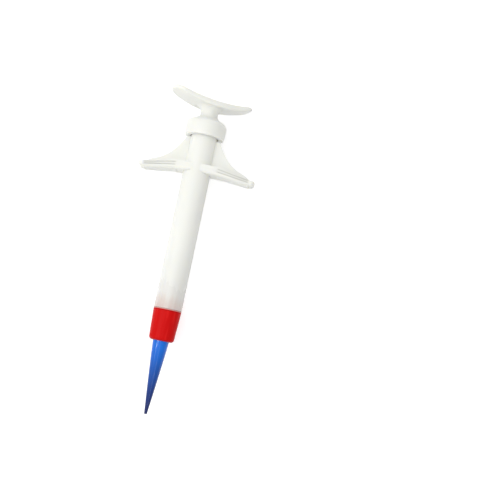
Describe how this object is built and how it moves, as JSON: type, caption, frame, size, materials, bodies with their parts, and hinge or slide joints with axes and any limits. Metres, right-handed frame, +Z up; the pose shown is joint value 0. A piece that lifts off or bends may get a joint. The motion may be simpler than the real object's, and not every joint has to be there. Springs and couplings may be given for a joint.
{
  "type": "plunger syringe",
  "caption": "Hand plunger syringe with a ribbed finger-wing barrel, saddle thumb rest, screw-on collar nut and tapered nozzle, for drawing up or dispensing paste and fluid.",
  "frame": {"origin": "on the barrel's axis, half way along its plain outer wall between the finger wings and the collar nut", "axes": "+Y along the axis towards the thumb rest, so the nozzle points to -Y; X along the finger wings; +Z up as the syringe lies on its side"},
  "size_m": [0.055, 0.1507, 0.0258],
  "materials": {
    "barrel_plastic": "milky, half see-through, satin",
    "thumb_rest_plastic": "milky satin",
    "rod_plastic": "satin white",
    "piston_plastic": "satin white",
    "seal_rubber": "smooth black",
    "gasket_rubber": "smooth pale",
    "nozzle_plastic": "glossy bright blue",
    "nut_plastic": "satin red"
  },
  "bodies": {
    "barrel": {"barrel": "barrel_plastic"},
    "piston": {"piston": "piston_plastic", "front_seal": "seal_rubber", "rear_seal": "seal_rubber"},
    "plunger": {"plunger_rod": "rod_plastic", "thumb_rest": "thumb_rest_plastic"},
    "nozzle": {"nozzle": "nozzle_plastic", "nozzle_gasket": "gasket_rubber"},
    "collar": {"collar_nut": "nut_plastic"}
  },
  "joints": [
    {"name": "plunger_slide", "type": "slide", "parent": "barrel", "child": "piston", "axis": [0, 1, 0], "range_m": [0, 0.084]},
    {"name": "plunger_turn", "type": "hinge", "parent": "piston", "child": "plunger", "pos_m": [0, 0, 0], "axis": [0, 1, 0], "continuous": true},
    {"name": "nozzle_slide", "type": "slide", "parent": "barrel", "child": "nozzle", "axis": [0, -1, 0], "range_m": [0, 0.005]},
    {"name": "collar_turn", "type": "hinge", "parent": "nozzle", "child": "collar", "pos_m": [0, -0.04, 0], "axis": [0, -1, 0], "range_deg": [0, 720]}
  ],
  "couplings": [
    {"joint": "collar_turn", "follows": "nozzle_slide", "rad_per_m": 2513.3}
  ]
}
